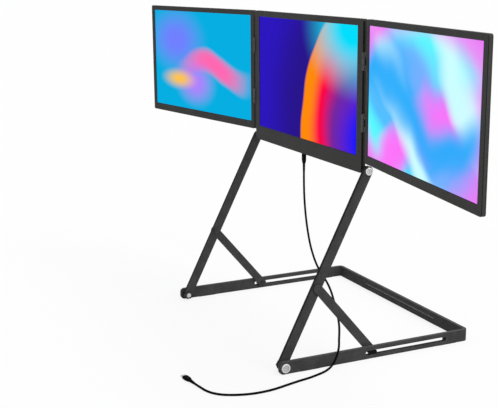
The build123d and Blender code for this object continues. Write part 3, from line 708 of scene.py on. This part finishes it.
def turnedMetal(name, middle, size):
    # metal turned about the X axis, with fine rings round the middle and painted shade in its groove
    finish = Finish(name, Metallic=lathe["metal"])
    offset = finish.add("ShaderNodeVectorMath", {"operation": "SUBTRACT"}, {0: finish.where, 1: middle})
    along, up = finish.split(offset.outputs[0])[1:]
    radius = (along * along + up * up) ** 0.5
    rings = finish.waves(radius * lathe["rings"])
    speckle = finish.grain(lathe["speckle"], lathe["speckleDetail"])
    rim = finish.blend(speckle, *lathe["rimTones"])
    face = finish.blend(speckle, *lathe["faceTones"])
    tone = finish.blend(finish.past(radius, size["inner"]), face, rim)
    # painted shade in the groove round the lowered disc
    cut = finish.band(radius, size["inner"], size["inner"] + size["groove"])
    tone = finish.blend(cut * lathe["grooveShadeShare"], tone, lathe["paintedGrooveTone"])
    rough = speckle * lathe["speckleRough"] + rings * lathe["ringRough"] + lathe["rough"]
    finish.set(Base_Color=tone, Roughness=rough)
    finish.bump(rings * 0.5 + 0.5, lathe["ringDepth"])
    return finish.material


def buildCaps(node, size):
    low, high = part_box(node)
    middle = (low + high) / 2
    radius, thickness = size["radius"], lathe["thickness"]
    face = size["seat"] + thickness
    place = (face - thickness / 2, middle.y, middle.z)
    lying = (0, radians(90), 0)
    piece = addDisc(node + "_turned", place, radius, thickness, lathe["sides"], lying)
    # a groove round a disc that sits a little below the rim, and the socket in its middle
    pickFaces(piece, facing((1, 0, 0)))
    for inset, shift in (
        (radius - size["inner"] - size["groove"], -lathe["recess"]),
        (size["groove"], lathe["step"]),
        (size["inner"] - size["socket"], -lathe["socketDepth"]),
    ):
        bpy.ops.mesh.inset(thickness=inset)
        push(shift, 0, 0)
    done()
    # the shank
    pickFaces(piece, facing((-1, 0, 0)))
    bpy.ops.mesh.inset(thickness=radius - size["shank"])
    push(size["end"] - size["seat"], 0, 0)
    done()

    def onRim(spot):
        reach = Vector((0, spot.y - middle.y, spot.z - middle.z)).length
        return spot.x > face - placeSlack and reach > radius - placeSlack

    pickEdges(piece, lambda first, second: onRim(first) and onRim(second))
    bevel(size["rim"], lathe["rimSegments"])
    done()
    smooth(piece, lathe["creases"])
    twin = copyTo(piece, node + "_turned_left", mirrored)
    joinInto(piece, faceOutwards(twin))
    dress(piece, turnedMetal(node + "_metal", (0, middle.y, middle.z), size))
    standFor(piece, node)


for node, size in turnedCaps.items():
    buildCaps(node, size)
print("pivot caps turned")


# the two barrel hinges on each side of the centre screen
hinge = {
    "axis": (0.1916, -0.023764),  # of the right side's
    "heights": (0.372, 0.464),
    "radius": 0.003,
    "sides": 48,
    "bore": 0.00125,
    "boreDepth": 0.0006,
    "length": 0.027,
    "middle": 0.011,
    "gap": 0.0002,
    "edge": 0.00035,
    "edgeSegments": 3,
    "leafNear": 0.0024,
    "leafThickness": 0.0012,
    "leafRoot": 0.004,
    "leafEdge": 0.0002,
    "leafEdgeSegments": 2,
    "centreTip": 0.0164,
    "sideTip": 0.0114,
    "creases": 30,
}


def hingeStrip(name, near, far, low, high, side):
    # a flat strip of a leaf, from near to far beside the axis
    x, y = hinge["axis"]
    depth = y + hinge["leafNear"] + hinge["leafThickness"] / 2
    middle = (x + side * (near + far) / 2, depth, (low + high) / 2)
    return addBox(name, middle, (far - near, hinge["leafThickness"], high - low))


def hingeKnuckle(name, low, high, side):
    # a rolled knuckle with the strip that joins it to its leaf, counted from the hinge's middle height
    x, y = hinge["axis"]
    middle = (x, y, (low + high) / 2)
    piece = addDisc(name, middle, hinge["radius"], high - low, hinge["sides"])
    pickFaces(piece, onEnds)
    bevel(hinge["edge"], hinge["edgeSegments"])
    done()

    def onAxis(place):
        return abs(place.x - x) < placeSlack

    for end in (1, -1):
        pickFaces(piece, lambda place, normal: normal.z * end > nearlyFacing and onAxis(place))
        bpy.ops.mesh.inset(thickness=hinge["radius"] - hinge["edge"] - hinge["bore"])
        push(0, 0, -end * hinge["boreDepth"])
        done()
    return joinInto(piece, hingeStrip(name + "_tab", 0, hinge["leafRoot"], low, high, side))


def hingeLeaf(name, tip, side):
    half = hinge["length"] / 2
    leaf = hingeStrip(name, hinge["leafRoot"], tip, -half, half, side)
    softened = leaf.modifiers.new("bevel", "BEVEL")
    softened.width = hinge["leafEdge"]
    softened.segments = hinge["leafEdgeSegments"]
    bpy.ops.object.modifier_apply(modifier=softened.name)
    return leaf


def hingeHalf(name, knuckles, tip, side):
    leaf = hingeLeaf(name, tip, side)
    barrels = [hingeKnuckle(name + "_barrel", low, high, side) for low, high in knuckles]
    return smooth(joinInto(leaf, *barrels), hinge["creases"])


def placeHinge(master, name, node, turn, flip):
    # the lower and the upper one of a side, mirrored for the left
    axis = Matrix.Translation((*hinge["axis"], 0))
    turning = Matrix.Rotation(radians(turn), 4, "Z")
    pair = []
    for number, height in enumerate(hinge["heights"]):
        place = Matrix.Translation((0, 0, height)) @ axis @ turning @ axis.inverted()
        pair.append(copyTo(master, name + str(number), mirrored @ place if flip else place))
    piece = joinInto(*pair)
    piece.name = name
    if flip:
        faceOutwards(piece)
    dress(piece, finishes["hinge_steel"])
    standFor(piece, node)


def buildHinges():
    half, middle, gap = hinge["length"] / 2, hinge["middle"] / 2, hinge["gap"]
    outer = [(-half, -middle - gap), (middle + gap, half)]
    centreHalf = hingeHalf("centre_hinge_half", outer, hinge["centreTip"], -1)
    screenHalf = hingeHalf("screen_hinge_half", [(-middle, middle)], hinge["sideTip"], 1)
    right, left = screens["right"], -screens["left"]
    placeHinge(centreHalf, "right_hinge_outer_knuckles", "right_hinge_centre_leaves", 0, False)
    placeHinge(centreHalf, "left_hinge_outer_knuckles", "left_hinge_centre_leaves", 0, True)
    placeHinge(screenHalf, "right_hinge_middle_knuckle", "right_hinge_screen_leaves", right, False)
    placeHinge(screenHalf, "left_hinge_middle_knuckle", "left_hinge_screen_leaves", left, True)
    for master in (centreHalf, screenHalf):
        bpy.data.objects.remove(master)


buildHinges()
print("hinges built")


# the moulded plugs at both ends of the cable
plug = {
    "body": (0.0096, 0.0054, 0.016),
    "bodyEnd": (-0.005, -0.0202, 0.2775),  # where the bend ends, just under the plug's body
    "corner": 0.0022,
    "cornerSegments": 6,
    "climb": 0.001,  # an edge that climbs more than this belongs to an upright corner
    "edge": 0.0006,
    "edgeSegments": 3,
    "taper": 0.006,
    "tail": (0.74, 0.84),
    "grips": (0.0035, 0.0049, 0.0063, 0.0077),  # from the end that faces the socket
    "gripWidth": 0.0006,
    "gripDepth": 0.0003,
    "reliefSides": 48,
    "reliefLength": 0.013,
    "reliefStart": (0.0032, 0.0021),  # half its width and depth at the body
    "reliefEnd": 0.002,
    "ribs": (0.0018, 0.0038, 0.0058, 0.0078, 0.0098),
    "ribGap": 0.0009,
    "ribDepth": 0.0004,
    "creases": 40,
}


def narrowFoot(piece, shares, foot):
    # draws the lowest face in towards its own middle
    pickFaces(piece, facing((0, 0, -1)))
    bpy.ops.transform.resize(value=(*shares, 1), center_override=foot)
    done()


def sinkBands(piece, starts, width, depth):
    # grooves round the sides of an upright piece, each from its start downwards
    for start in starts:
        bisectLevel(piece, start)
        bisectLevel(piece, start - width)

    def inBand(height):
        return any(start - width < height < start for start in starts)

    pickFaces(piece, lambda place, normal: not onEnds(place, normal) and inBand(place.z))
    bpy.ops.mesh.extrude_region_shrink_fatten(TRANSFORM_OT_shrink_fatten={"value": -depth})
    done()


def buildOvermold():
    low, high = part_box("screen_plug_overmold")
    middle = (low + high) / 2
    piece = addBox("screen_plug_body", middle, plug["body"])
    bisectLevel(piece, low.z + plug["taper"])
    narrowFoot(piece, plug["tail"], (middle.x, middle.y, low.z))
    pickEdges(piece, lambda first, second: abs(first.z - second.z) > plug["climb"])
    bevel(plug["corner"], plug["cornerSegments"], clamp_overlap=True)
    done()
    pickFaces(piece, onEnds)
    bevel(plug["edge"], plug["edgeSegments"])
    done()
    sinkBands(piece, [high.z - grip for grip in plug["grips"]], plug["gripWidth"], plug["gripDepth"])
    return smooth(piece, plug["creases"])


def buildRelief():
    low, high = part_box("screen_plug_strain_relief")
    middle = (low + high) / 2
    wide, deep = plug["reliefStart"]
    length, sides = plug["reliefLength"], plug["reliefSides"]
    piece = addDisc("screen_plug_relief", middle, 1, length, sides, scale=(wide, deep, 1))
    shares = (plug["reliefEnd"] / wide, plug["reliefEnd"] / deep)
    narrowFoot(piece, shares, (middle.x, middle.y, low.z))
    sinkBands(piece, [high.z - rib for rib in plug["ribs"]], plug["ribGap"], plug["ribDepth"])
    return smooth(piece, plug["creases"])


def laptopPlugPlace():
    # carries the screen's plug over to the cable's other end
    low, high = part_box("screen_plug_overmold")
    middle = (low + high) / 2
    upright = Matrix.Translation((middle.x, middle.y, high.z))
    before, end = (Vector(point) for point in cable["route"][-2:])
    heading = Vector((end.x - before.x, end.y - before.y, 0)).normalized()
    tip = end + heading * (plug["body"][2] + plug["reliefLength"])
    side = heading.cross(Vector((0, 0, 1)))
    axes = Matrix((side, heading.cross(side), heading)).transposed().to_4x4()
    return Matrix.Translation(tip) @ axes @ upright.inverted()


def buildPlugs():
    names = []
    for maker, part in ((buildOvermold, "overmold"), (buildRelief, "strain_relief")):
        piece = maker()
        dress(piece, finishes["cable_jacket"])
        twin = copyTo(piece, piece.name.replace("screen", "laptop"), laptopPlugPlace())
        for each, owner in ((piece, "screen"), (twin, "laptop")):
            faceOutwards(each)
            if each.name == "screen_plug_relief":
                # takes in the cable's top
                dress(cableTop, finishes["cable_jacket"])
                joinInto(each, cableTop)
                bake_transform(each)
                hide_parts("screen_plug_strain_relief")
            else:
                standFor(each, owner + "_plug_" + part)
            names.append(each.name)
    return names


plugPieces = buildPlugs()
print("plugs moulded")


# a pale floor that shows white, with the object's shadow, under plain light
studio = {
    "white": (1, 1, 1, 1),
    "floorSize": 160,
    "floorTone": (0.78, 0.78, 0.78, 1),
    "floorGlow": 0.8,
    "floorLight": 1.03,
    "worldTone": 0.42,
    "lamps": [  # name, strength, softness in degrees, and where it shines from
        ("key_lamp", 1.6, 45, (0.75, 0.4, 1.6)),
        ("side_lamp", 1.0, 70, (1.6, 0.1, 0.7)),
        ("rear_lamp", 0.4, 80, (-0.6, 1.2, 1.2)),
    ],
}


def seenDirectly(tree):
    # 1 for camera, mirror and glass rays, 0 for the rays that carry light
    rays = addNode(tree, "ShaderNodeLightPath").outputs
    total = rays["Is Camera Ray"]
    for kind in ("Is Glossy Ray", "Is Transmission Ray"):
        larger = addNode(tree, "ShaderNodeMath", {"operation": "MAXIMUM"}, {0: total, 1: rays[kind]})
        total = larger.outputs[0]
    return total


def whiteLight(tree, strength):
    values = {"Color": studio["white"], "Strength": strength}
    return addNode(tree, "ShaderNodeBackground", {}, values).outputs[0]


def lightWorld():
    world = bpy.data.worlds.new("studio")
    bpy.context.scene.world = world
    world.use_nodes = True
    tree = world.node_tree
    tree.nodes.clear()
    shaders = {0: seenDirectly(tree), 1: whiteLight(tree, studio["worldTone"]), 2: whiteLight(tree, 1)}
    mix = addNode(tree, "ShaderNodeMixShader", {}, shaders)
    addNode(tree, "ShaderNodeOutputWorld", {}, {"Surface": mix.outputs[0]})


def paleFloor():
    paper = bpy.data.materials.new("pale_floor")
    paper.use_nodes = True
    tree = paper.node_tree
    tree.nodes.clear()
    matt = addNode(tree, "ShaderNodeBsdfDiffuse", {}, {"Color": studio["floorTone"]})
    glow = addNode(tree, "ShaderNodeEmission", {}, {"Strength": studio["floorLight"]})
    factors = {0: seenDirectly(tree), 1: studio["floorGlow"]}
    share = addNode(tree, "ShaderNodeMath", {"operation": "MULTIPLY"}, factors)
    shaders = {0: share.outputs[0], 1: matt.outputs[0], 2: glow.outputs[0]}
    mix = addNode(tree, "ShaderNodeMixShader", {}, shaders)
    addNode(tree, "ShaderNodeOutputMaterial", {}, {"Surface": mix.outputs[0]})
    return paper


def buildStudio():
    lightWorld()
    clearSelection()
    bpy.ops.mesh.primitive_plane_add(size=studio["floorSize"], location=(0, 0, 0))
    floor = nameNew("floor")
    floor.data.materials.append(paleFloor())
    for name, strength, softness, source in studio["lamps"]:
        clearSelection()
        bpy.ops.object.light_add(type="SUN", location=source)
        lamp = bpy.context.object
        lamp.name = name
        lamp.data.energy = strength
        lamp.data.angle = radians(softness)
        lamp.rotation_mode = "QUATERNION"
        lamp.rotation_quaternion = Vector(source).to_track_quat("Z", "Y")
    bpy.context.scene.view_settings.view_transform = "Standard"


buildStudio()
print("studio ready")


# the lit displays behind their front frames
display = {
    "width": 0.3442,
    "margin": 0.0025,  # hidden under the front frame all round
    "mask": 0.0006,  # black line round the lit area
    "thickness": 0.0025,
    "step": 0.00015,
    "litArea": 0.02,  # square metres, less than the lit face has and more than any other
    "glow": 1.0,
    "cloud": 0.11,
    "speckle": 0.0004,
    "detail": 1,
    "glassTones": (colour(2, 2, 2), colour(4, 4, 5)),
    "rough": 0.36,
    "speckleRough": 0.08,
}

# places and sizes in the pictures are shares of the lit area, counted from its lower left corner
# an oval light has a middle, a size, the softness of its edge and mostly a tone
leftLights = {
    "ground": colour(4, 174, 226),
    "glow": ((0.24, 0.7), (0.2, 0.22), 0.8, colour(112, 128, 255)),
    "streakHeight": 0.42,
    "streakWidth": 0.022,
    "streakTone": colour(255, 104, 178),
    "streakFade": ((0.62, 0.38), (0.26, 0.4), 0.6),
    "bend": (7.5, 0.8, 0.09),  # how tight, where it starts, how high
    "cloud": 0.1,
    "spots": (
        ((0.44, 0.28), (0.13, 0.15), 0.9, colour(176, 128, 255)),
        ((0.27, 0.3), (0.12, 0.07), 0.9, colour(255, 196, 76)),
    ),
}
centreLights = {
    "middle": (1.08, 0.1),
    "stretch": 1.75,
    "cloud": 0.16,
    "core": colour(20, 24, 250),
    "rings": (  # where each begins and is full
        (0.1, 0.62, colour(120, 40, 150)),
        (0.5, 0.78, colour(255, 0, 66)),
        (0.74, 0.98, colour(255, 138, 10)),
        (1.06, 1.1, colour(40, 20, 140)),
        (1.15, 1.9, colour(44, 22, 190)),
    ),
    "corner": ((0.96, 0.98), (0.3, 0.36), 0.7, colour(0, 222, 252)),
}
rightLights = {
    "ground": (colour(84, 190, 255), colour(150, 150, 255)),
    "groundSpan": (0.35, 1.25),
    "groundSlope": 0.4,
    "groundCloud": 0.4,
    "ribbons": (  # slope, place in the wave, width, tone
        (0.9, 0.2, 0.3, colour(90, 250, 255)),
        (-0.6, 1.9, 0.24, colour(255, 112, 250)),
        (1.6, 3.3, 0.24, colour(206, 255, 255)),
        (0.3, 4.6, 0.2, colour(28, 172, 252)),
    ),
    "ribbonCloud": 0.55,
    "bend": (5, 0.13),  # how tight, how high
    "spacing": 5.2,
    "spread": 1.9,  # how far a ribbon's light reaches for its width
    "full": 1.05,
    "rim": ((0.47, 0.47), (0.56, 0.58), 0.16),
    "rimCloud": (0.2, 0.16),
    "rimShare": 0.85,
    "rimTone": colour(248, 116, 246),
}


def distance(x, y):
    return (x * x + y * y) ** 0.5


def glowAt(finish, across, up, middle, size, softness):
    # 1 inside a soft-edged oval, 0 outside
    x = (across - middle[0]) * (1 / size[0])
    y = (up - middle[1]) * (1 / size[1])
    return 1 - finish.ramp(distance(x, y), 1 - softness, 1 + softness)


def addLight(finish, picture, across, up, light):
    *shape, tone = light
    return finish.blend(glowAt(finish, across, up, *shape), picture, tone)


def leftPicture(finish, across, up, cloud):
    # soft lights drifting on a clear blue
    lights = leftLights
    picture = addLight(finish, lights["ground"], across, up, lights["glow"])
    turns, begin, swing = lights["bend"]
    rise = up + finish.waves(across * turns + begin, swing) + cloud * lights["cloud"]
    offset = rise - lights["streakHeight"]
    streak = 1 - finish.ramp(offset * offset, 0, lights["streakWidth"])
    fade = glowAt(finish, across, up, *lights["streakFade"])
    picture = finish.blend(streak * fade, picture, lights["streakTone"])
    for spot in lights["spots"]:
        picture = addLight(finish, picture, across, up, spot)
    return picture


def centrePicture(finish, across, up, cloud):
    # rings of warm colour round a cool corner
    lights = centreLights
    x = (across - lights["middle"][0]) * lights["stretch"]
    y = up - lights["middle"][1]
    reach = distance(x, y) + cloud * lights["cloud"]
    picture = lights["core"]
    for begin, full, tone in lights["rings"]:
        picture = finish.blend(finish.ramp(reach, begin, full), picture, tone)
    return addLight(finish, picture, across, up, lights["corner"])


def rightPicture(finish, across, up, cloud):
    # ribbons of light crossing a sky with a warm rim
    lights = rightLights
    climb = across + up * lights["groundSlope"] + cloud * lights["groundCloud"]
    picture = finish.blend(finish.ramp(climb, *lights["groundSpan"]), *lights["ground"])
    turns, swing = lights["bend"]
    for slope, phase, width, tone in lights["ribbons"]:
        line = up + across * slope + cloud * lights["ribbonCloud"]
        line = line + finish.waves(across * turns + phase, swing)
        band = finish.waves(line * lights["spacing"] + phase, 0.5) + 0.5
        ribbon = finish.ramp(band, 1 - width * lights["spread"], lights["full"])
        picture = finish.blend(ribbon, picture, tone)
    sideways, upwards = lights["rimCloud"]
    inside = glowAt(finish, across + cloud * sideways, up - cloud * upwards, *lights["rim"])
    return finish.blend((1 - inside) * lights["rimShare"], picture, lights["rimTone"])


pictures = {"left": leftPicture, "centre": centrePicture, "right": rightPicture}


def litFinish(name):
    middle, tall = panelPlace(name)
    finish = Finish(name + "_picture", Specular_IOR_Level=0, Emission_Strength=display["glow"])
    size = (display["width"], 1, tall - 2 * display["margin"])
    corner = middle - screenAcross(name) * size[0] / 2 - Vector((0, 0, size[2] / 2))
    place = finish.local(corner, (0, 0, radians(screens[name])), size)
    across, up = finish.split(place)[::2]
    cloud = finish.grain(display["cloud"], display["detail"]) - 0.5
    speckle = finish.grain(display["speckle"], display["detail"])
    finish.set(
        Emission_Color=pictures[name](finish, across, up, cloud),
        Base_Color=finish.blend(speckle, *display["glassTones"]),
        Roughness=speckle * display["speckleRough"] + display["rough"],
    )
    return finish.material


def buildDisplay(name):
    front = screenFront(name)
    middle, tall = panelPlace(name)
    size = (display["width"] + 2 * display["margin"], display["thickness"], tall)
    piece = addBox(name + "_display", middle, size, (0, 0, radians(screens[name])))
    pickFaces(piece, facing(front))
    bpy.ops.mesh.inset(thickness=display["margin"] + display["mask"])
    push(*(-front * display["step"]))
    done()
    piece.data.materials.append(finishes["panel_glass"])
    piece.data.materials.append(litFinish(name))
    inFront = facing(front)
    for face in piece.data.polygons:
        lit = inFront(face.center, face.normal) and face.area > display["litArea"]
        face.material_index = int(lit)
    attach(piece, name + "_screen")
    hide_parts(name + "_lcd_panel")


for screenName in screens:
    buildDisplay(screenName)
print("displays built")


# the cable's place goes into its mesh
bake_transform(usbCable)
